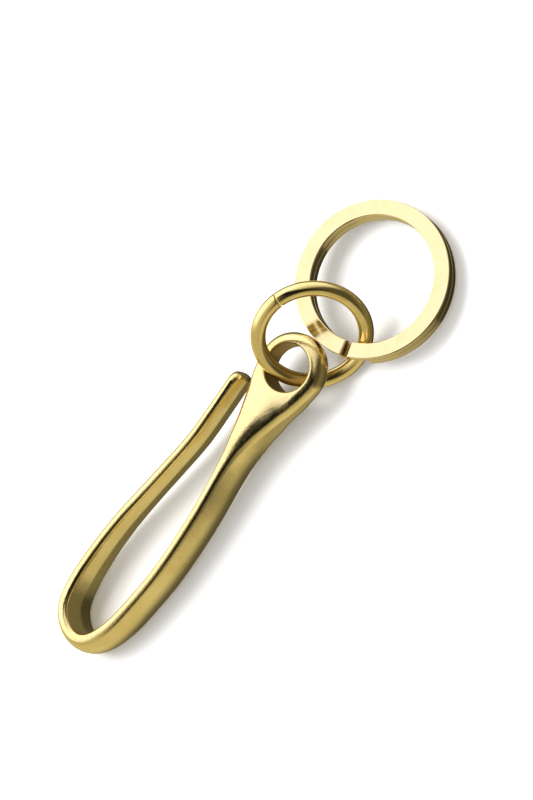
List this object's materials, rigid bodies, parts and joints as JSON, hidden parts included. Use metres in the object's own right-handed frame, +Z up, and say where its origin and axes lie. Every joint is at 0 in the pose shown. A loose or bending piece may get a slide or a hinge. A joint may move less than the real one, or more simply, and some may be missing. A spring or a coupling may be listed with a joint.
{
  "type": "belt hook key holder with split ring",
  "caption": "Brass belt hook with an eye, a round-wire jump ring through the eye and a flat split key ring on it.",
  "frame": {"origin": "under the middle of the whole chain's plan, on the surface that it lies on", "axes": "+X along the chain from the hook's loop end to the key ring, +Z up; the hook lies on its side with its tongue towards +Y"},
  "size_m": [0.1029, 0.0314, 0.0187],
  "materials": {
    "hook_brass": "satin, tumbled cast brass with fine specks and soft edges; dark inside the eye's hole",
    "jump_brass": "drawn round wire, polished, with a butt cut",
    "ring_brass": "flat wire, bright polished, with faint rolling lines"
  },
  "bodies": {
    "hook": {"belt_hook": "hook_brass"},
    "jump_ring": {"jump_ring": "jump_brass"},
    "key_ring": {"split_ring": "ring_brass"}
  },
  "joints": [
    {"name": "jump_ring_swivel", "type": "hinge", "parent": "hook", "child": "jump_ring", "pos_m": [0.01473, 0.00169, 0.0067], "axis": [-0.0308, 0, 0.9995], "range_deg": [-65, 85]},
    {"name": "key_ring_swing", "type": "hinge", "parent": "jump_ring", "child": "key_ring", "pos_m": [0.02673, -0.0057, 0.00379], "axis": [0.8499, 0.1121, 0.5149], "range_deg": [-120, 0]}
  ]
}
